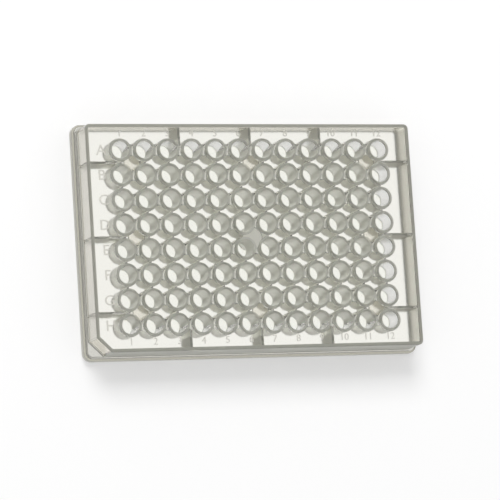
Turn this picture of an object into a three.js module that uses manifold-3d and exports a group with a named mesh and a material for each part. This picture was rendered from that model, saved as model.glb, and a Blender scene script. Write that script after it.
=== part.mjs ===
// 96-well microplate: one injection moulding in natural polypropylene, with flat-bottomed round wells.
// Millimetres, +Z up. The origin is the centre of the base, on the plane that the plate stands on.
// +X runs from column 1 to column 12, and +Y runs from row H to row A.
import * as THREE from 'three';
import { mergeVertices } from 'three/addons/utils/BufferGeometryUtils.js';
import Module from 'manifold-3d';

const wasm = await Module();
wasm.setup();

// Well grid
const columnCount = 12;
const rowCount = 8;
const wellPitch = 9;
const endMargin = 14.38; // from the centres of the end columns to the end of the base
const sideMargin = 11.24; // from the centres of the side rows to the side of the base

// Heights
const plateHeight = 14.35;
const mouthRise = 0.5; // the ring around each mouth stands this far above the deck
const deckThickness = 1;
const wellDepth = 8;
const wellFloor = 1;

// Wells
const wellGap = 0.9; // clear space between the rings of neighbouring wells
const wellWall = 0.88; // at the mouth
const boreTaper = 0.25; // radius lost from the mouth to the floor
const tubeSwell = 0.1; // the wells are this much wider under the deck than the rings on it
const wellSides = 8;

// Skirt and stepped base flange
const skirtWall = 1.15;
const skirtDraft = 0.4; // the skirt flares out by this much from the deck to the base
const rimCornerRadius = 1.75;
const notchLeg = 5.2; // legs of the orientation chamfer at well H1
const flangeOverhang = 1.78; // base edge beyond the rim
const flangeHeight = 2.41;
const flangeCornerRadius = 3.18;
const beadWidth = 0.5; // narrow step where the skirt meets the flange
const beadRise = 0.9;
const stackClearance = 0.25; // the base fits over the rim of the plate below
const stackDepth = 2;

// Inner stiffening under the deck
const columnWeb = 0.9; // between the wells of one column
const rowWebFoot = 1.3; // between the wells of one row, thicker up to the deck
const rowWebTop = 4.4;
const ribThickness = 0.9;
const ribDepth = 11; // below the top of the deck
const ribColumns = [3, 6, 9]; // the side ribs stand after these columns
const ribRows = [1, 4, 7]; // the end ribs stand after these rows

// Ejector pads between four wells each, and the gate at the centre
const padColumns = [1, 6, 11];
const padRows = [1, 4, 7];
const padRadius = 3;
const padThickness = 1.2;
const gateBossRadius = 4.25;
const gateBossThickness = 1;

// What follows from these sizes
const plateLength = (columnCount - 1) * wellPitch + 2 * endMargin;
const plateWidth = (rowCount - 1) * wellPitch + 2 * sideMargin;
const rimHalfLength = plateLength / 2 - flangeOverhang;
const rimHalfWidth = plateWidth / 2 - flangeOverhang;
const deckTop = plateHeight - mouthRise;
const deckUnderside = deckTop - deckThickness;
const ringRadius = (wellPitch - wellGap) / 2;
const tubeRadius = ringRadius + tubeSwell;
const boreTopRadius = ringRadius - wellWall;
const boreFloorRadius = boreTopRadius - boreTaper;
const floorTop = plateHeight - wellDepth;
const tubeBottom = floorTop - wellFloor;
const overcut = 1; // cutting tools run this far past the face that they open
const flatness = 0.01; // facets that differ by less are joined into one

function columnX(column) {
  return (column - (columnCount + 1) / 2) * wellPitch;
}

function rowY(row) {
  return ((rowCount + 1) / 2 - row) * wellPitch;
}

// Rectangle with round corners, and a chamfer instead of the corner at -X -Y where a notch is given
function outline(halfLength, halfWidth, radius, notch = 0) {
  const shape = new THREE.Shape();
  if (notch > 0) {
    shape.moveTo(-halfLength, notch - halfWidth);
    shape.lineTo(notch - halfLength, -halfWidth);
  } else {
    shape.absarc(radius - halfLength, radius - halfWidth, radius, Math.PI, 1.5 * Math.PI);
  }
  shape.absarc(halfLength - radius, radius - halfWidth, radius, 1.5 * Math.PI, 2 * Math.PI);
  shape.absarc(halfLength - radius, halfWidth - radius, radius, 0, 0.5 * Math.PI);
  shape.absarc(radius - halfLength, halfWidth - radius, radius, 0.5 * Math.PI, Math.PI);
  shape.closePath();
  return shape;
}

function solidOf(geometry) {
  geometry.deleteAttribute('normal');
  geometry.deleteAttribute('uv');
  const merged = mergeVertices(geometry, 1e-4);
  return new wasm.Manifold(new wasm.Mesh({
    numProp: 3,
    vertProperties: new Float32Array(merged.attributes.position.array),
    triVerts: new Uint32Array(merged.index.array),
  }));
}

function extruded(shape, low, high) {
  const geometry = new THREE.ExtrudeGeometry(shape, { depth: high - low, bevelEnabled: false, curveSegments: 4 });
  return geometry.translate(0, 0, low);
}

// Lets an upright extrusion flare out, by the skirt's draft at the base and by nothing at the deck
function drafted(geometry, halfLength, halfWidth) {
  const position = geometry.attributes.position;
  for (let i = 0; i < position.count; i += 1) {
    const flare = skirtDraft * (deckTop - position.getZ(i)) / deckTop;
    position.setX(i, position.getX(i) * (1 + flare / halfLength));
    position.setY(i, position.getY(i) * (1 + flare / halfWidth));
  }
  return geometry;
}

// A cone or cylinder between two heights. Its polygon has the area of the round section that it stands for.
function turned(sides, low, lowRadius, high, highRadius) {
  const spread = Math.sqrt(2 * Math.PI / (sides * Math.sin(2 * Math.PI / sides)));
  const profile = [
    new THREE.Vector2(0, low),
    new THREE.Vector2(lowRadius * spread, low),
    new THREE.Vector2(highRadius * spread, high),
    new THREE.Vector2(0, high),
  ];
  const geometry = new THREE.LatheGeometry(profile, sides);
  return solidOf(geometry.rotateX(Math.PI / 2));
}

function block(lowX, highX, lowY, highY, lowZ, highZ) {
  const geometry = new THREE.BoxGeometry(highX - lowX, highY - lowY, highZ - lowZ);
  geometry.translate((lowX + highX) / 2, (lowY + highY) / 2, (lowZ + highZ) / 2);
  return solidOf(geometry);
}

// Calls place for every position of the grid given by two lists of column and row numbers
function forGrid(columns, rows, place) {
  for (const column of columns) {
    for (const row of rows) {
      place(column, row);
    }
  }
}

function numbersTo(count) {
  return Array.from({ length: count }, (_, index) => index + 1);
}

function makeShell() {
  const halfLength = plateLength / 2;
  const halfWidth = plateWidth / 2;
  const beadInset = flangeOverhang - skirtDraft - beadWidth;
  const cavityLength = rimHalfLength - skirtWall;
  const cavityWidth = rimHalfWidth - skirtWall;
  const cavityRadius = Math.max(rimCornerRadius - skirtWall, 0.3);
  const cavityNotch = notchLeg - skirtWall * (2 - Math.SQRT2);
  const flange = solidOf(extruded(outline(halfLength, halfWidth, flangeCornerRadius), 0, flangeHeight));
  const bead = solidOf(extruded(
    outline(halfLength - beadInset, halfWidth - beadInset, flangeCornerRadius - beadInset),
    0,
    flangeHeight + beadRise,
  ));
  const skirt = solidOf(drafted(
    extruded(outline(rimHalfLength, rimHalfWidth, rimCornerRadius, notchLeg), 0, deckTop),
    rimHalfLength,
    rimHalfWidth,
  ));
  const cavity = solidOf(drafted(
    extruded(outline(cavityLength, cavityWidth, cavityRadius, cavityNotch), -overcut, deckUnderside),
    cavityLength,
    cavityWidth,
  ));
  const socket = solidOf(extruded(
    outline(rimHalfLength + stackClearance, rimHalfWidth + stackClearance, rimCornerRadius + stackClearance),
    -overcut,
    stackDepth,
  ));
  return flange.add(bead).add(skirt).subtract(cavity).subtract(socket);
}

function makeWells() {
  const joint = (deckTop + deckUnderside) / 2;
  const ring = turned(wellSides, joint, ringRadius, plateHeight, ringRadius);
  const tube = turned(wellSides, tubeBottom, tubeRadius, joint, tubeRadius);
  // The tube is turned so that a flat of it faces each web
  const well = ring.add(tube.rotate([0, 0, 180 / wellSides]));
  const wells = [];
  forGrid(numbersTo(columnCount), numbersTo(rowCount), (column, row) => {
    wells.push(well.translate([columnX(column), rowY(row), 0]));
  });
  return wells;
}

function makeBores() {
  const overcutRadius = boreTopRadius + boreTaper * overcut / wellDepth;
  const bore = turned(wellSides, floorTop, boreFloorRadius, plateHeight + overcut, overcutRadius);
  const bores = [];
  forGrid(numbersTo(columnCount), numbersTo(rowCount), (column, row) => {
    bores.push(bore.translate([columnX(column), rowY(row), 0]));
  });
  return bores;
}

// Webs that tie the wells together: one wall through each column, and one wedge through each row
function makeWebs() {
  const webs = [];
  const high = deckTop - deckThickness / 2;
  for (const column of numbersTo(columnCount)) {
    const x = columnX(column);
    webs.push(block(x - columnWeb / 2, x + columnWeb / 2, rowY(rowCount), rowY(1), tubeBottom, high));
  }
  const wedge = new THREE.Shape();
  wedge.moveTo(-rowWebFoot / 2, tubeBottom);
  wedge.lineTo(rowWebFoot / 2, tubeBottom);
  wedge.lineTo(rowWebTop / 2, high);
  wedge.lineTo(-rowWebTop / 2, high);
  wedge.closePath();
  for (const row of numbersTo(rowCount)) {
    const rowWeb = solidOf(extruded(wedge, columnX(1), columnX(columnCount)));
    webs.push(rowWeb.rotate([90, 0, 90]).translate([0, rowY(row), 0]));
  }
  return webs;
}

// Ribs from the skirt to the block of wells: the end ribs reach the first gap between four wells
function makeRibs() {
  const low = deckTop - ribDepth;
  const high = deckTop - deckThickness / 2;
  const half = ribThickness / 2;
  const skirtX = rimHalfLength - skirtWall / 2;
  const skirtY = rimHalfWidth - skirtWall / 2;
  const endX = columnX(columnCount) - wellPitch / 2;
  const sideY = rowY(1);
  const ribs = [];
  for (const row of ribRows) {
    const y = rowY(row) - wellPitch / 2;
    ribs.push(block(endX, skirtX, y - half, y + half, low, high));
    ribs.push(block(-skirtX, -endX, y - half, y + half, low, high));
  }
  for (const column of ribColumns) {
    const x = columnX(column) + wellPitch / 2;
    ribs.push(block(x - half, x + half, sideY, skirtY, low, high));
    ribs.push(block(x - half, x + half, -skirtY, -sideY, low, high));
  }
  return ribs;
}

// Ejector pads under the deck. At the centre the gap between four wells is filled, with the gate's boss under it.
function makePadsAndGate() {
  const deckMiddle = deckTop - deckThickness / 2;
  const pad = turned(8, deckUnderside - padThickness, padRadius, deckMiddle, padRadius);
  const half = (wellPitch - columnWeb / 2) / 2;
  const filling = block(-half, half, -half, half, tubeBottom, deckMiddle);
  const bossTop = tubeBottom + wellFloor / 2;
  const boss = turned(16, tubeBottom - gateBossThickness, gateBossRadius, bossTop, gateBossRadius);
  const solids = [];
  forGrid(padColumns, padRows, (column, row) => {
    const x = columnX(column) + wellPitch / 2;
    const y = rowY(row) - wellPitch / 2;
    const atGate = column === padColumns[1] && row === padRows[1];
    solids.push((atGate ? filling.add(boss) : pad).translate([x, y, 0]));
  });
  return solids;
}

function joined(solids) {
  return solids.reduce((sum, solid) => sum.add(solid));
}

function meshOf(name, solid, material) {
  const result = solid.getMesh();
  const geometry = new THREE.BufferGeometry();
  geometry.setAttribute('position', new THREE.BufferAttribute(result.vertProperties, 3));
  geometry.setIndex(new THREE.BufferAttribute(result.triVerts, 1));
  geometry.computeVertexNormals();
  const mesh = new THREE.Mesh(geometry, material);
  mesh.name = name;
  return mesh;
}

const moulding = joined([makeShell(), ...makeWells(), ...makeWebs(), ...makeRibs(), ...makePadsAndGate()])
  .subtract(joined(makeBores()))
  .asOriginal()
  .simplify(flatness);

const polypropylene = new THREE.MeshStandardMaterial({ color: 0xe6e4dc, roughness: 0.35, metalness: 0 });

const wellPlate = new THREE.Group();
wellPlate.add(meshOf('well_plate', moulding, polypropylene));

export default wellPlate;
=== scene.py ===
# Shallow 96-well plate in natural polypropylene: the fine surface, its finish, and a plain white studio
import math
import bpy
import bmesh
from mathutils import Matrix, Vector


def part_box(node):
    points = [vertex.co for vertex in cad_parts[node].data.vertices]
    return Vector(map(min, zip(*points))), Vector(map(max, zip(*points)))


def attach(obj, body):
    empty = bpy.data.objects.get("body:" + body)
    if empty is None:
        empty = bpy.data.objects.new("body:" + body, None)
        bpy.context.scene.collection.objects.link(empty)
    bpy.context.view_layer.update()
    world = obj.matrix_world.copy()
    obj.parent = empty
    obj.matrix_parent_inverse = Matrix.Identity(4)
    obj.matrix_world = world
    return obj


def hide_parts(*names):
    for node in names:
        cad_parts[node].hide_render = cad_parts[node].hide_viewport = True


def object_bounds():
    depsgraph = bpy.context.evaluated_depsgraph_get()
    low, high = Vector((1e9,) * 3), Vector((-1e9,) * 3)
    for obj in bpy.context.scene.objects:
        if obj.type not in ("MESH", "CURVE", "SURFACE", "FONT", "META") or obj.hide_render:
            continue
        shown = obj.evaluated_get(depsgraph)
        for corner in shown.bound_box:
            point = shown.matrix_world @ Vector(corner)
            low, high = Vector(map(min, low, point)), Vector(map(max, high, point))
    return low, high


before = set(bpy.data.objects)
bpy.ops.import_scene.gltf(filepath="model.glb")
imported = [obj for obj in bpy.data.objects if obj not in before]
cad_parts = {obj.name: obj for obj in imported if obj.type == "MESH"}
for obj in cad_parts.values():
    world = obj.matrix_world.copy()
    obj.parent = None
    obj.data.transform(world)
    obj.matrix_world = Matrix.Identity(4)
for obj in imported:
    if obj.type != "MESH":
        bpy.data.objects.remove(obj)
cadLow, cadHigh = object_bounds()
plateLow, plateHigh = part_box("well_plate")
millimetre = 0.001

# Sizes are in millimetres, with heights above the base, unless a note says otherwise
grid = {
    "columns": 12,
    "rows": 8,
    "pitch": 9.0,
}


def columnX(column):
    return (column - (grid["columns"] + 1) / 2) * grid["pitch"]


def rowY(row):
    return ((grid["rows"] + 1) / 2 - row) * grid["pitch"]


def objectFrom(name, data):
    made = bpy.data.objects.new(name, data)
    bpy.context.scene.collection.objects.link(made)
    return made


def meshFrom(name, points, faces):
    mesh = bpy.data.meshes.new(name)
    mesh.from_pydata([Vector(point) * millimetre for point in points], [], faces)
    mesh.update()
    return mesh


# Adds a node with its settings, and with a value or a link for each of its sockets
def addNode(tree, kind, links=None, **settings):
    node = tree.nodes.new(kind)
    for name, value in settings.items():
        setattr(node, name, value)
    for socket, value in (links or {}).items():
        for source in value if isinstance(value, list) else [value]:
            if isinstance(source, bpy.types.NodeSocket):
                tree.links.new(source, node.inputs[socket])
            else:
                node.inputs[socket].default_value = source
    return node


# Turns an sRGB hex value to a linear colour
def linear(hexValue):
    channels = [int(hexValue[i:i + 2], 16) / 255 for i in (1, 3, 5)]
    return (*[c / 12.92 if c <= 0.04045 else ((c + 0.055) / 1.055) ** 2.4 for c in channels], 1.0)


# Points of an arc, from one angle to another in degrees
def arc(centre, radius, fromAngle, toAngle, steps=4):
    angles = [math.radians(fromAngle + (toAngle - fromAngle) * i / steps) for i in range(steps + 1)]
    return [(centre[0] + radius * math.cos(a), centre[1] + radius * math.sin(a)) for a in angles]


# Closed solid of revolution: the profile runs from the axis out and back to the axis, as (radius, height)
def revolved(name, profile, segments):
    ringPoints = profile[1:-1]
    points = [(0, 0, profile[0][1]), (0, 0, profile[-1][1])]
    for radius, height in ringPoints:
        for i in range(segments):
            angle = 2 * math.pi * (i + 0.5) / segments
            points.append((radius * math.cos(angle), radius * math.sin(angle), height))
    faces = []
    for i in range(segments):
        j = (i + 1) % segments
        faces.append((0, 2 + j, 2 + i))
        for ring in range(len(ringPoints) - 1):
            low = 2 + ring * segments
            high = low + segments
            faces.append((low + i, low + j, high + j, high + i))
        last = 2 + (len(ringPoints) - 1) * segments
        faces.append((last + i, last + j, 1))
    return objectFrom(name, meshFrom(name, points, faces))


corners = {
    "steps": 9,
    "notchRound": 0.8,        # at both ends of the chamfer
    "notchSteps": 4,
    "smallestRadius": 0.05,
}


# Rectangle with round corners, or with a chamfer with soft ends at -X -Y, always with the same number of points
def outlinePoints(halfLength, halfWidth, corner, notchLeg=0.0):
    points = []
    for signX, signY, start in ((1, -1, 270), (1, 1, 0), (-1, 1, 90)):
        centre = (signX * (halfLength - corner), signY * (halfWidth - corner))
        points += arc(centre, corner, start, start + 90, corners["steps"])
    if notchLeg <= 0:
        return points + arc((corner - halfLength, corner - halfWidth), corner, 180, 270, corners["steps"])
    soft = corners["notchRound"]
    reach = soft * math.tan(math.radians(22.5))
    points += arc((soft - halfLength, notchLeg - halfWidth + reach), soft, 180, 225, corners["notchSteps"])
    points += arc((notchLeg - halfLength + reach, soft - halfWidth), soft, 225, 270, corners["notchSteps"])
    return points


# Closed solid through outlines at rising heights: (half length, half width, corner, notch leg, height)
def lofted(name, sections):
    rings = [outlinePoints(*section[:4]) for section in sections]
    count = len(rings[0])
    points = [(x, y, section[4]) for ring, section in zip(rings, sections) for x, y in ring]
    faces = [tuple(reversed(range(count)))]
    for level in range(len(rings) - 1):
        low = level * count
        high = low + count
        for i in range(count):
            j = (i + 1) % count
            faces.append((low + i, low + j, high + j, high + i))
    faces.append(tuple(range(len(points) - count, len(points))))
    return objectFrom(name, meshFrom(name, points, faces))


# Upright block, as wide at the top as at the foot unless its top width is given
def boxSolid(name, sizeX, sizeY, low, high, topY=None):
    points = [(x * sizeX / 2, y * width / 2, z)
              for z, width in ((low, sizeY), (high, topY or sizeY))
              for x, y in ((-1, -1), (1, -1), (1, 1), (-1, 1))]
    faces = [(3, 2, 1, 0), (4, 5, 6, 7), (0, 1, 5, 4), (1, 2, 6, 5), (2, 3, 7, 6), (3, 0, 4, 7)]
    return objectFrom(name, meshFrom(name, points, faces))


base = {
    "length": (plateHigh.x - plateLow.x) / millimetre,
    "width": (plateHigh.y - plateLow.y) / millimetre,
    "height": (plateHigh.z - plateLow.z) / millimetre,
    "flangeOverhang": 1.78,   # base edge beyond the rim of the deck
    "flangeHeight": 2.41,
    "flangeCorner": 3.18,
    "flangeEdge": 0.25,       # round on the flange's upper edge
    "beadWidth": 0.5,
    "beadFoot": 0.5,
    "beadHeight": 3.31,
    "beadEdge": 0.15,
    "stackClearance": 0.25,
    "stackDepth": 2.0,
    "socketEdge": 0.2,
}

skirt = {
    "foot": 0.6,
    "wall": 1.15,
    "draft": 0.4,
    "corner": 1.75,
    "notchLeg": 5.2,          # chamfer beside well H1
    "deckDrop": 0.5,          # deck below the well mouths
    "deckThickness": 1.0,
    "rimRound": 0.3,
    "innerRound": 0.2,
}

overcut = 1.0                 # hollows are cut from this far outside the face that they open
deckTop = base["height"] - skirt["deckDrop"]
deckUnderside = deckTop - skirt["deckThickness"]
rimLength = base["length"] / 2 - base["flangeOverhang"]
rimWidth = base["width"] / 2 - base["flangeOverhang"]
notchSetback = 2 - math.sqrt(2)   # change of a chamfer's leg for each millimetre between two outlines


# Sections of an upright block whose top edge is rounded; flare widens it towards the base
def roundedTop(halfLength, halfWidth, corner, notchLeg, low, high, edge, flare=0.0):
    sections = []
    for reach, height in [(edge, low)] + arc((0, high - edge), edge, 0, 90):
        inset = 0 if height == low else edge - reach
        grow = flare * (deckTop - height) / deckTop - inset
        notch = notchLeg + grow * notchSetback if notchLeg > 0 else 0
        cornerRound = max(corner + grow, corners["smallestRadius"])
        sections.append((halfLength + grow, halfWidth + grow, cornerRound, notch, height))
    return sections


def flangeSolid():
    return lofted("flangeSolid", roundedTop(
        base["length"] / 2, base["width"] / 2, base["flangeCorner"], 0,
        0, base["flangeHeight"], base["flangeEdge"]))


def beadSolid():
    inset = base["flangeOverhang"] - skirt["draft"] - base["beadWidth"]
    return lofted("beadSolid", roundedTop(
        base["length"] / 2 - inset, base["width"] / 2 - inset, base["flangeCorner"] - inset, 0,
        base["beadFoot"], base["beadHeight"], base["beadEdge"]))


def skirtSolid():
    return lofted("skirtSolid", roundedTop(
        rimLength, rimWidth, skirt["corner"], skirt["notchLeg"],
        skirt["foot"], deckTop, skirt["rimRound"], skirt["draft"]))


def cavitySolid():
    wall = skirt["wall"]
    return lofted("cavitySolid", roundedTop(
        rimLength - wall, rimWidth - wall, skirt["corner"] - wall, skirt["notchLeg"] - wall * notchSetback,
        -overcut, deckUnderside, skirt["innerRound"], skirt["draft"]))


def socketSolid():
    clearance = base["stackClearance"]
    return lofted("socketSolid", roundedTop(
        rimLength + clearance, rimWidth + clearance, skirt["corner"] + clearance, 0,
        -overcut, base["stackDepth"], base["socketEdge"]))


well = {
    "mouthRadius": 3.17,
    "floorRadius": 2.92,
    "depth": 8.0,
    "floorThickness": 1.0,
    "ringRadius": 4.05,
    "tubeRadius": 4.15,
    "lipRound": 0.08,
    "floorRound": 0.15,
    "footRound": 0.1,
    "rootRound": 0.12,        # where the tube meets the deck
    "roundSteps": 3,
    "segments": 36,
}

wellFloor = base["height"] - well["depth"]
wellFoot = wellFloor - well["floorThickness"]


def wellSolid():
    tube, ring, top = well["tubeRadius"], well["ringRadius"], base["height"]
    foot, root, lip, steps = well["footRound"], well["rootRound"], well["lipRound"], well["roundSteps"]
    profile = [(0, wellFoot)]
    profile += arc((tube - foot, wellFoot + foot), foot, -90, 0, steps)
    profile += arc((tube + root, deckUnderside - root), root, 180, 90, steps)
    profile += arc((ring + root, deckTop + root), root, 270, 180, steps)
    profile += arc((ring - lip, top - lip), lip, 0, 90, steps)
    profile.append((0, top))
    return revolved("wellSolid", profile, well["segments"])


def boreSolid():
    mouth, floor, top = well["mouthRadius"], well["floorRadius"], base["height"]
    corner, lip, steps = well["floorRound"], well["lipRound"], well["roundSteps"]
    profile = [(0, wellFloor)]
    profile += arc((floor - corner, wellFloor + corner), corner, -90, 0, steps)
    profile += arc((mouth + lip, top - lip), lip, 180, 90, steps)
    profile += [(mouth + lip, top + overcut), (0, top + overcut)]
    return revolved("boreSolid", profile, well["segments"])


stiffening = {
    "columnWeb": 0.9,         # between neighbours in one column
    "rowWebFoot": 1.3,        # between neighbours in one row, wider up to the deck
    "rowWebTop": 4.4,
    "webClearance": 0.05,     # from each end of a web to the bore beside it
    "ribThickness": 0.9,
    "ribFoot": 2.85,
    "ribColumns": (3, 6, 9),
    "ribRows": (1, 4, 7),
}

ribHigh = deckUnderside + skirt["deckThickness"] / 2

# The end ribs stop between the end wells, so that the gaps behind those stay open
ribEnds = {
    "End": (columnX(grid["columns"]), rimLength - skirt["wall"] / 2),
    "Side": (rowY(1), rimWidth - skirt["wall"] / 2),
}


def stiffeningSolids():
    webSpan = grid["pitch"] - 2 * (well["mouthRadius"] + stiffening["webClearance"])
    endRib, sideRib = [outer - inner for inner, outer in ribEnds.values()]
    thickness = stiffening["ribThickness"]
    return {
        "Column Web": boxSolid("columnWebSolid", stiffening["columnWeb"], webSpan, wellFoot, ribHigh),
        "Row Web": boxSolid("rowWebSolid", webSpan, stiffening["rowWebFoot"], wellFoot, ribHigh,
                            stiffening["rowWebTop"]),
        "End Rib": boxSolid("endRibSolid", endRib, thickness, stiffening["ribFoot"], ribHigh),
        "Side Rib": boxSolid("sideRibSolid", thickness, sideRib, stiffening["ribFoot"], ribHigh),
    }


ejection = {
    "padColumns": (1, 6, 11),
    "padRows": (1, 4, 7),
    "padRadius": 3.0,
    "padThickness": 1.2,
    "padEdge": 0.2,
    "padSegments": 24,
    "gateBossRadius": 4.25,
    "gateBossThickness": 1.0,
    "gateBossEdge": 0.25,
    "gateBossSegments": 40,
    "edgeSteps": 3,
    "overlap": 0.5,           # into the plastic above
}


# Short round boss whose foot has a rounded edge
def bossSolid(name, radius, foot, top, edge, segments):
    profile = [(0, foot)] + arc((radius - edge, foot + edge), edge, -90, 0, ejection["edgeSteps"])
    profile += [(radius, top + ejection["overlap"]), (0, top + ejection["overlap"])]
    return revolved(name, profile, segments)


def ejectionSolids():
    fillingSpan = grid["pitch"] - stiffening["columnWeb"] / 2
    return {
        "Gate Filling": boxSolid("gateFillingSolid", fillingSpan, fillingSpan, wellFoot, ribHigh),
        "Gate Boss": bossSolid("gateBossSolid", ejection["gateBossRadius"], wellFoot - ejection["gateBossThickness"],
                               wellFoot, ejection["gateBossEdge"], ejection["gateBossSegments"]),
        "Pad": bossSolid("padSolid", ejection["padRadius"], deckUnderside - ejection["padThickness"],
                         deckUnderside, ejection["padEdge"], ejection["padSegments"]),
    }


lettering = {
    "relief": 0.22,
    "sink": 0.3,              # into the deck
    "rowHeight": 3.9,
    "rowX": -56.7,
    "columnHeight": 2.6,
    "columnY": (37.6, -37.4),
    "capitalShare": 0.73,     # height of a capital in the font, for a size of 1
    "curveSteps": 3,
    "weld": 0.001,
}


# Raised letters beside the rows and numbers beside the columns, as one closed mesh standing in the deck
def letteringSolid():
    marks = []
    for row in range(1, grid["rows"] + 1):
        marks.append((chr(ord("A") + row - 1), lettering["rowHeight"], lettering["rowX"], rowY(row)))
    for column in range(1, grid["columns"] + 1):
        for y in lettering["columnY"]:
            marks.append((str(column), lettering["columnHeight"], columnX(column), y))
    joined = bmesh.new()
    relief, sink = lettering["relief"], lettering["sink"]
    for text, height, x, y in marks:
        curve = bpy.data.curves.new("mark", "FONT")
        curve.body = text
        curve.size = height / lettering["capitalShare"] * millimetre
        curve.extrude = (relief + sink) / 2 * millimetre
        curve.resolution_u = lettering["curveSteps"]
        made = objectFrom("mark", curve)
        mesh = bpy.data.meshes.new_from_object(made.evaluated_get(bpy.context.evaluated_depsgraph_get()))
        points = [v.co for v in mesh.vertices]
        middle = (Vector(map(min, *points)) + Vector(map(max, *points))) / 2
        place = Vector((x, y, deckTop + (relief - sink) / 2)) * millimetre
        mesh.transform(Matrix.Translation(place - middle))
        joined.from_mesh(mesh)
        bpy.data.objects.remove(made)
    bmesh.ops.remove_doubles(joined, verts=joined.verts, dist=lettering["weld"] * millimetre)
    mesh = bpy.data.meshes.new("letteringSolid")
    joined.to_mesh(mesh)
    joined.free()
    return objectFrom("letteringSolid", mesh)


def addInputs(tree, kinds):
    for kind, names in kinds.items():
        for name in names:
            tree.interface.new_socket(name, in_out="INPUT", socket_type=kind)


# Node group: one solid repeated on a grid centred on the origin
def gridTree():
    tree = bpy.data.node_groups.new("solidOnGrid", "GeometryNodeTree")
    addInputs(tree, {
        "NodeSocketObject": ("Solid",),
        "NodeSocketInt": ("Columns", "Rows"),
        "NodeSocketFloat": ("Step X", "Step Y")})
    tree.interface.new_socket("Geometry", in_out="OUTPUT", socket_type="NodeSocketGeometry")
    given = addNode(tree, "NodeGroupInput").outputs
    spans = []
    for count, step in (("Columns", "Step X"), ("Rows", "Step Y")):
        gaps = addNode(tree, "ShaderNodeMath", {0: given[count], 1: 1.0}, operation="SUBTRACT")
        spans.append(addNode(tree, "ShaderNodeMath", {0: gaps.outputs[0], 1: given[step]}, operation="MULTIPLY"))
    lattice = addNode(tree, "GeometryNodeMeshGrid", {
        "Size X": spans[0].outputs[0], "Size Y": spans[1].outputs[0],
        "Vertices X": given["Columns"], "Vertices Y": given["Rows"]})
    places = addNode(tree, "GeometryNodeMeshToPoints", {"Mesh": lattice.outputs["Mesh"]})
    source = addNode(tree, "GeometryNodeObjectInfo", {"Object": given["Solid"]})
    copies = addNode(tree, "GeometryNodeInstanceOnPoints", {
        "Points": places.outputs["Points"], "Instance": source.outputs["Geometry"]})
    real = addNode(tree, "GeometryNodeRealizeInstances", {"Geometry": copies.outputs["Instances"]})
    addNode(tree, "NodeGroupOutput", {"Geometry": real.outputs["Geometry"]})
    return tree


# Node group: joins the solids into one moulding and cuts its hollows
def mouldingTree(material):
    onGrid = gridTree()
    tree = bpy.data.node_groups.new("plateMoulding", "GeometryNodeTree")
    addInputs(tree, {
        "NodeSocketGeometry": ("Geometry",),
        "NodeSocketObject": (
            "Flange", "Bead", "Skirt", "Cavity", "Socket", "Gate Filling", "Gate Boss", "Lettering",
            "Well", "Bore", "Column Web", "Row Web", "End Rib", "Side Rib", "Pad"),
        "NodeSocketInt": ("Columns", "Rows"),
        "NodeSocketFloat": (
            "Pitch", "End Rib Span", "End Rib Step", "Side Rib Span", "Side Rib Step",
            "Pad Step X", "Pad Step Y")})
    tree.interface.new_socket("Geometry", in_out="OUTPUT", socket_type="NodeSocketGeometry")
    given = addNode(tree, "NodeGroupInput").outputs

    def single(name):
        return addNode(tree, "GeometryNodeObjectInfo", {"Object": given[name]}).outputs["Geometry"]

    def repeated(name, columns, rows, stepX, stepY):
        sockets = {"Solid": given[name], "Columns": columns, "Rows": rows, "Step X": stepX, "Step Y": stepY}
        return addNode(tree, "GeometryNodeGroup", sockets, node_tree=onGrid).outputs["Geometry"]

    def union(solids):
        joined = addNode(tree, "GeometryNodeMeshBoolean", {"Mesh 2": solids}, operation="UNION", solver="MANIFOLD")
        return joined.outputs["Mesh"]

    def cut(solid, tools):
        left = addNode(tree, "GeometryNodeMeshBoolean", {"Mesh 1": solid, "Mesh 2": tools},
                       operation="DIFFERENCE", solver="MANIFOLD")
        return left.outputs["Mesh"]

    columns, rows, pitch = given["Columns"], given["Rows"], given["Pitch"]
    gapRows, gapColumns = [
        addNode(tree, "ShaderNodeMath", {0: count, 1: 1.0}, operation="SUBTRACT").outputs[0]
        for count in (rows, columns)]
    ribColumns, ribRows = len(stiffening["ribColumns"]), len(stiffening["ribRows"])
    padColumns, padRows = len(ejection["padColumns"]), len(ejection["padRows"])
    shell = cut(union([single("Flange"), single("Bead"), single("Skirt")]), [single("Cavity"), single("Socket")])
    moulding = union([
        shell,
        repeated("Well", columns, rows, pitch, pitch),
        repeated("Column Web", columns, gapRows, pitch, pitch),
        repeated("Row Web", gapColumns, rows, pitch, pitch),
        repeated("End Rib", 2, ribRows, given["End Rib Span"], given["End Rib Step"]),
        repeated("Side Rib", ribColumns, 2, given["Side Rib Step"], given["Side Rib Span"]),
        repeated("Pad", padColumns, padRows, given["Pad Step X"], given["Pad Step Y"]),
        single("Gate Filling"),
        single("Gate Boss"),
        single("Lettering"),
    ])
    moulding = cut(moulding, [repeated("Bore", columns, rows, pitch, pitch)])
    real = addNode(tree, "GeometryNodeRealizeInstances", {"Geometry": moulding})
    finished = addNode(tree, "GeometryNodeSetMaterial", {"Geometry": real.outputs["Geometry"], "Material": material})
    addNode(tree, "NodeGroupOutput", {"Geometry": finished.outputs["Geometry"]})
    return tree


# Sets a Geometry Nodes modifier's inputs by their sockets' identifiers
def setInputs(modifier, values):
    sockets = modifier.node_group.interface.items_tree
    identifiers = {item.name: item.identifier for item in sockets if item.in_out == "INPUT"}
    for name, value in values.items():
        modifier[identifiers[name]] = value


sharpFrom = 40                # degrees between two faces from which their edge looks sharp


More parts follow.
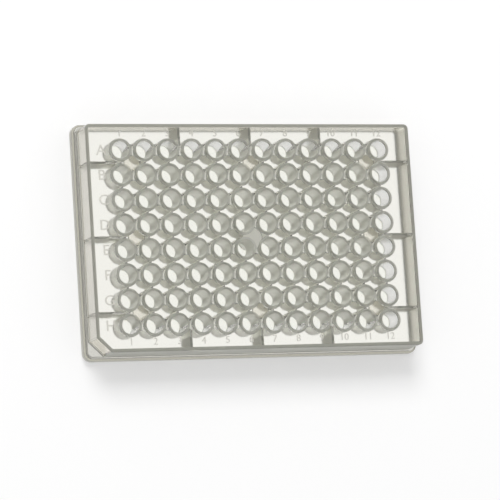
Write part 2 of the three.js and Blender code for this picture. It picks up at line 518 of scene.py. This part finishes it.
def makePlate(material):
    tools = {
        "Flange": flangeSolid(),
        "Bead": beadSolid(),
        "Skirt": skirtSolid(),
        "Cavity": cavitySolid(),
        "Socket": socketSolid(),
        "Lettering": letteringSolid(),
        "Well": wellSolid(),
        "Bore": boreSolid(),
        **stiffeningSolids(),
        **ejectionSolids(),
    }
    print("solids of the moulding:", len(tools))
    numbers = {"Columns": grid["columns"], "Rows": grid["rows"], "Pitch": grid["pitch"] * millimetre}
    for name, (inner, outer) in ribEnds.items():
        numbers[name + " Rib Span"] = (outer + inner) * millimetre
    for name, places in (("End Rib Step", stiffening["ribRows"]), ("Side Rib Step", stiffening["ribColumns"]),
                         ("Pad Step X", ejection["padColumns"]), ("Pad Step Y", ejection["padRows"])):
        numbers[name] = (places[1] - places[0]) * grid["pitch"] * millimetre
    holder = objectFrom("plateHolder", bpy.data.meshes.new("plateHolder"))
    moulding = holder.modifiers.new("moulding", "NODES")
    moulding.node_group = mouldingTree(material)
    setInputs(moulding, {**tools, **numbers})
    plateMesh = bpy.data.meshes.new_from_object(holder.evaluated_get(bpy.context.evaluated_depsgraph_get()))
    for made in [holder, *tools.values()]:
        bpy.data.objects.remove(made)
    plateMesh.name = "wellPlateMoulding"
    plate = objectFrom("wellPlateMoulding", plateMesh)
    plateMesh.shade_smooth()
    plateMesh.set_sharp_from_angle(angle=math.radians(sharpFrom))
    even = plate.modifiers.new("evenShading", "WEIGHTED_NORMAL")
    even.keep_sharp = True
    return plate


polypropylene = {
    "depthTint": "#acaca8",   # what a long way through the material turns white to
    "absorbedPerMetre": 26.0,
    "ior": 1.49,
    "ripplesPerMetre": 900.0, # the mould's satin texture is far finer, and drawn this coarse to show
    "rippleHeight": 0.1,
    "rippleDetail": 2.0,
    "rippleStrength": 0.02,
}

# Roughness, share of the light that gets through, and tint
finishes = {
    "frosted": (0.5, 1.0, "#fbfbf2"),     # core side, outside the wells and the webs
    "polished": (0.15, 1.0, "#f8f8f0"),
    "bore": (0.4, 0.65, "#fbfbf2"),
    "outerTube": (0.3, 1.0, "#fcfbf6"),   # outward halves of the outermost wells
    "outerBore": (0.15, 1.0, "#ffffff"),
    # painted shade: the ring tops are tinted grey to darken them
    "ring": (0.4, 0.9, "#c8c8be"),
    "foot": (0.5, 0.4, "#fbfbf2"),        # undersides of the wells and webs
    "rib": (0.5, 0.55, "#f4f4ee"),
    "boss": (0.5, 0.5, "#fbfbf2"),
    "pad": (0.25, 0.85, "#ece7d6"),
    "deck": (0.15, 1.0, "#f7f6ef"),
    "mark": (0.5, 0.4, "#cfcdc3"),
    "edge": (0.4, 0.5, "#a0a096"),        # painted shade: grey along the rounded edge of the deck
    "skirt": (0.15, 1.0, "#f7f5ec"),
    "skirtInner": (0.35, 1.0, "#fcfcf8"),
    "skirtFrontShade": (0.4, 0.6, "#d0d0c6"),  # row H's side, tinted grey as painted shade on the side away from the lamp
    "skirtOuter": (0.15, 0.88, "#e6e0d0"),
    # painted shade: the flange and its top are tinted grey, and its upper edge darker still
    "shadedFlange": (0.4, 0.35, "#dad8ce"),
    "shadedFlangeTop": (0.2, 0.9, "#c4c2b6"),
    "flangeEdge": (0.4, 0.3, "#8e8e86"),
    # painted highlight: the bead's top is pure white and clear, as a bright line
    "beadHighlight": (0.15, 1.0, "#ffffff"),
}

# Share of the normal along an axis at which a finish begins, and at which it is full
turns = {
    "level": (0.3, 0.8),
    "outward": (0.02, 0.12),
    "inner": (0.6, 0.9),
    "outer": (0.5, 0.65),
    "side": (0.8, 0.95),
}

# How far a finish's limit lies from the face that it keeps clear of
limits = {
    "wide": 0.3,
    "close": 0.2,
    "narrow": 0.1,
    "fine": 0.05,
    "markFoot": 0.022,
    "mouth": 0.01,
    "outerWells": 0.4,        # past the centres of the outermost wells
    "ribStart": 4.4,          # past the same centres
    "ribReach": 33.3,         # all ribs stand within this distance of the middle
}


# Natural polypropylene, injection moulded and unpigmented: clear where the mould was polished, milky where the
# walls were drawn along it, and faintly warm and grey through its depth
# Some zones carry painted light: grey tints as painted shade on the rings, the deck's rim edge, row H's side and the
# flange, and a painted highlight on the bead
def naturalPolypropylene():
    material = bpy.data.materials.new("naturalPolypropylene")
    material.use_nodes = True
    tree = material.node_tree
    tree.nodes.clear()
    wide, close, narrow, fine = [limits[name] for name in ("wide", "close", "narrow", "fine")]

    def calculated(operation, *values):
        return addNode(tree, "ShaderNodeMath", dict(enumerate(values)), operation=operation).outputs[0]

    def below(value, limit):
        return calculated("LESS_THAN", value, limit * millimetre)

    def above(value, limit):
        return calculated("GREATER_THAN", value, limit * millimetre)

    def between(value, low, high):
        return calculated("COMPARE", value, (low + high) / 2 * millimetre, (high - low) / 2 * millimetre)

    def everyOf(first, *others):
        for mask in others:
            first = calculated("MULTIPLY", first, mask)
        return first

    def anyOf(first, *others):
        for mask in others:
            first = calculated("MAXIMUM", first, mask)
        return first

    def notOn(mask):
        return calculated("SUBTRACT", 1.0, mask)

    # Goes from one result to the other while the value goes from one end to the other
    def graded(value, ends, results=(0.0, 1.0)):
        return addNode(tree, "ShaderNodeMapRange", {
            "Value": value, "From Min": ends[0], "From Max": ends[1],
            "To Min": results[0], "To Max": results[1]}).outputs[0]

    place = addNode(tree, "ShaderNodeTexCoord")
    facing = addNode(tree, "ShaderNodeSeparateXYZ", {"Vector": place.outputs["Normal"]}).outputs
    spot = addNode(tree, "ShaderNodeSeparateXYZ", {"Vector": place.outputs["Object"]}).outputs
    height = spot["Z"]
    fromMiddle = {axis: calculated("ABSOLUTE", spot[axis]) for axis in "XY"}
    turned = {axis: calculated("ABSOLUTE", facing[axis]) for axis in "XYZ"}
    level = graded(turned["Z"], turns["level"])

    # Distance from the axis of the nearest well
    half = grid["pitch"] / 2 * millimetre
    fromAxis = [calculated("WRAP", calculated("SUBTRACT", spot[axis], half), half, -half) for axis in "XY"]
    squares = [calculated("MULTIPLY", value, value) for value in fromAxis]
    radius = calculated("SQRT", calculated("ADD", *squares))

    inBore = below(radius, (well["mouthRadius"] + well["ringRadius"]) / 2)
    # painted shade: the tops of the rings around the mouths get the grey ring finish
    onRingShade = everyOf(above(height, deckTop + fine), above(radius, well["mouthRadius"] + limits["mouth"]))
    underDeck = below(height, deckUnderside - wide)
    wellFloors = everyOf(below(radius, well["floorRadius"]), above(height, wellFoot - close))
    onFoot = everyOf(level, between(height, wellFoot - wide, wellFoot + wide), notOn(wellFloors))
    onBoss = between(height, wellFoot - ejection["gateBossThickness"] - narrow, wellFoot - wide)
    padFoot = deckUnderside - ejection["padThickness"]
    onPad = everyOf(level, between(height, padFoot - wide, padFoot + wide), above(radius, well["tubeRadius"] - close))
    onMark = everyOf(above(height, deckTop + limits["markFoot"]), anyOf(
        above(fromMiddle["X"], grid["columns"] / 2 * grid["pitch"]),
        above(fromMiddle["Y"], grid["rows"] / 2 * grid["pitch"])))

    # Outward halves of the outermost wells, and the ribs beyond them
    lastWell = {"X": columnX(grid["columns"]), "Y": rowY(1)}
    rim = {"X": rimLength, "Y": rimWidth}
    onOuterTube = anyOf(*[everyOf(
        above(fromMiddle[axis], lastWell[axis] + limits["outerWells"]),
        graded(turned[axis], turns["outward"])) for axis in "XY"])
    onRib = everyOf(underDeck, above(height, stiffening["ribFoot"] - close), anyOf(*[everyOf(
        between(fromMiddle[axis], lastWell[axis] + limits["ribStart"], rim[axis] - skirt["wall"]),
        below(fromMiddle[across], limits["ribReach"])) for axis, across in ("XY", "YX")]))

    # The skirt, with the chamfer's wall where x + y is below -cutCorner
    cutCorner = rimLength + rimWidth - skirt["notchLeg"] - skirt["wall"] * math.sqrt(2)
    alongCut = calculated("ADD", spot["X"], spot["Y"])
    atRim = anyOf(
        above(fromMiddle["X"], rimLength - skirt["wall"] - fine),
        above(fromMiddle["Y"], rimWidth - skirt["wall"] - fine),
        below(alongCut, -cutCorner))
    onInner = everyOf(
        between(fromMiddle["X"], rimLength - skirt["wall"] - fine, rimLength - wide),
        graded(turned["X"], turns["inner"]))
    # painted shade: row H's side of the skirt is tinted grey
    onShadedFront = everyOf(below(spot["Y"], fine - rimWidth), graded(turned["Y"], turns["side"]))
    onOuter = anyOf(
        everyOf(
            anyOf(above(fromMiddle["X"], rimLength - fine), below(alongCut, -cutCorner - skirt["wall"])),
            graded(turned["X"], turns["outer"])),
        everyOf(above(spot["Y"], rimWidth - fine), graded(turned["Y"], turns["side"])))
    onDeck = everyOf(level, above(height, deckUnderside - narrow), below(height, deckTop + narrow))
    # painted shade: the deck's rounded rim edge gets the grey edge finish
    onRimEdgeShade = everyOf(above(height, deckTop - skirt["rimRound"]), atRim)

    # The flange, greyed with painted shade where it stands on the board, with a painted dark line along its upper
    # edge and a painted highlight line on the bead
    onFlange = below(height, base["flangeHeight"] + narrow)
    onFlangeEdgeShade = everyOf(
        between(height, base["flangeHeight"] - base["flangeEdge"] - narrow, base["beadHeight"] + narrow),
        notOn(level), atRim)
    onBeadHighlight = everyOf(level, atRim, between(height, base["beadHeight"] - narrow, base["beadHeight"] + narrow))

    # Each zone covers those before it
    zones = (
        ("bore", inBore),
        ("outerTube", onOuterTube),
        ("outerBore", everyOf(onOuterTube, inBore)),
        ("skirt", atRim),
        ("skirtInner", onInner),
        ("skirtFrontShade", onShadedFront),
        ("skirtOuter", onOuter),
        ("polished", level),
        ("deck", onDeck),
        ("ring", onRingShade),
        ("frosted", everyOf(level, underDeck, notOn(wellFloors))),
        ("foot", onFoot),
        ("rib", onRib),
        ("boss", onBoss),
        ("pad", onPad),
        ("mark", onMark),
        ("edge", onRimEdgeShade),
        ("shadedFlange", onFlange),
        ("shadedFlangeTop", everyOf(onFlange, level)),
        ("flangeEdge", onFlangeEdgeShade),
        ("beadHighlight", onBeadHighlight),
    )
    print("zones of the plastic's finish:", len(zones))
    roughness, through, tint = finishes["frosted"]
    tint = linear(tint)
    for finish, zone in zones:
        zoneRoughness, zoneThrough, zoneTint = finishes[finish]
        roughness = graded(zone, (0.0, 1.0), (roughness, zoneRoughness))
        through = graded(zone, (0.0, 1.0), (through, zoneThrough))
        tint = addNode(tree, "ShaderNodeMix", {"Factor": zone, "A": tint, "B": linear(zoneTint)},
                       data_type="RGBA").outputs["Result"]
    ripple = addNode(tree, "ShaderNodeTexNoise", {
        "Vector": place.outputs["Object"], "Scale": polypropylene["ripplesPerMetre"],
        "Detail": polypropylene["rippleDetail"]})
    bump = addNode(tree, "ShaderNodeBump", {
        "Height": ripple.outputs["Fac"], "Strength": polypropylene["rippleStrength"],
        "Distance": polypropylene["rippleHeight"] * millimetre})
    surface = addNode(tree, "ShaderNodeBsdfPrincipled", {
        "Base Color": tint,
        "Roughness": roughness,
        "IOR": polypropylene["ior"],
        "Transmission Weight": through,
        "Normal": bump.outputs["Normal"]})
    depth = addNode(tree, "ShaderNodeVolumeAbsorption", {
        "Color": linear(polypropylene["depthTint"]), "Density": polypropylene["absorbedPerMetre"]})
    addNode(tree, "ShaderNodeOutputMaterial", {"Surface": surface.outputs[0], "Volume": depth.outputs[0]})
    return material


# The lamp's size and place are in metres
studio = {
    "floorReach": 3000,       # from the middle to each side
    "floorGap": 0.05,         # below the plate
    "floorTone": "#d6d6d6",
    "floorLift": 0.31,        # added where the board is seen directly
    "floorThrough": 1.0,      # its white where it is seen in or through the plate
    "worldStrength": 0.65,
    "lampPower": 18.0,        # watts
    "lampSize": 0.8,
    "lampPlace": (-0.25, 1.2, 1.3),
}


# Matt white board: lamps light it and the plate shades it, and it is plain white behind and through the plate
def whiteBoard():
    material = bpy.data.materials.new("whiteBoard")
    material.use_nodes = True
    tree = material.node_tree
    tree.nodes.clear()
    white = linear("#ffffff")
    rays = addNode(tree, "ShaderNodeLightPath").outputs
    matt = addNode(tree, "ShaderNodeBsdfDiffuse", {"Color": linear(studio["floorTone"])})
    through = addNode(tree, "ShaderNodeMath", {0: rays["Is Glossy Ray"], 1: rays["Is Transmission Ray"]},
                      operation="MAXIMUM")
    seen = addNode(tree, "ShaderNodeMath", {0: rays["Is Camera Ray"], 1: studio["floorLift"]}, operation="MULTIPLY")
    lift = addNode(tree, "ShaderNodeEmission", {"Color": white, "Strength": seen.outputs[0]})
    direct = addNode(tree, "ShaderNodeAddShader", {0: matt.outputs[0], 1: lift.outputs[0]})
    plain = addNode(tree, "ShaderNodeEmission", {"Color": white, "Strength": studio["floorThrough"]})
    shown = addNode(tree, "ShaderNodeMixShader", {0: through.outputs[0], 1: direct.outputs[0], 2: plain.outputs[0]})
    addNode(tree, "ShaderNodeOutputMaterial", {"Surface": shown.outputs[0]})
    return material


def makeFloor():
    reach = studio["floorReach"]
    places = [(-reach, -reach, 0), (reach, -reach, 0), (reach, reach, 0), (-reach, reach, 0)]
    floor = objectFrom("floor", meshFrom("floor", places, [(0, 1, 2, 3)]))
    floor.location.z = cadLow.z - studio["floorGap"] * millimetre
    floor.data.materials.append(whiteBoard())


def makeLight():
    world = bpy.data.worlds.new("studio")
    world.use_nodes = True
    background = world.node_tree.nodes["Background"]
    background.inputs["Color"].default_value = linear("#ffffff")
    background.inputs["Strength"].default_value = studio["worldStrength"]
    bpy.context.scene.world = world
    data = bpy.data.lights.new("softbox", "AREA")
    data.shape = "SQUARE"
    data.size = studio["lampSize"]
    data.energy = studio["lampPower"]
    lamp = objectFrom("softbox", data)
    place = Vector(studio["lampPlace"])
    lamp.matrix_world = Matrix.LocRotScale(place, place.to_track_quat("Z", "Y"), None)
    bpy.context.scene.view_settings.view_transform = "Standard"


camera = {
    "target": (-3.05, -5.28, 14.35),
    "azimuth": -67.24,        # angles in degrees
    "elevation": 68.46,
    "roll": 64.94,
    "distance": 1078.0,
    "lens": 216.0,
    "nearest": 10,
    "farthest": 20000,
}


def makeCamera():
    data = bpy.data.cameras.new("camera")
    data.lens = camera["lens"]
    data.clip_start = camera["nearest"] * millimetre
    data.clip_end = camera["farthest"] * millimetre
    made = objectFrom("camera", data)
    turn, rise = math.radians(camera["azimuth"]), math.radians(camera["elevation"])
    back = Vector((math.sin(turn) * math.cos(rise), -math.cos(turn) * math.cos(rise), math.sin(rise)))
    facing = (-back).to_track_quat("-Z", "Y").to_matrix()
    roll = Matrix.Rotation(math.radians(camera["roll"]), 3, "Z")
    place = (Vector(camera["target"]) + back * camera["distance"]) * millimetre
    made.matrix_world = Matrix.LocRotScale(place, (facing @ roll).to_quaternion(), None)
    bpy.context.scene.camera = made


makeCamera()
makeLight()
makeFloor()
print("studio and camera are set")
plate = makePlate(naturalPolypropylene())
triangles = sum(len(face.vertices) - 2 for face in plate.data.polygons)
print("plate moulding:", len(plate.data.polygons), "faces,", triangles, "triangles")
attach(plate, "root")
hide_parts("well_plate")
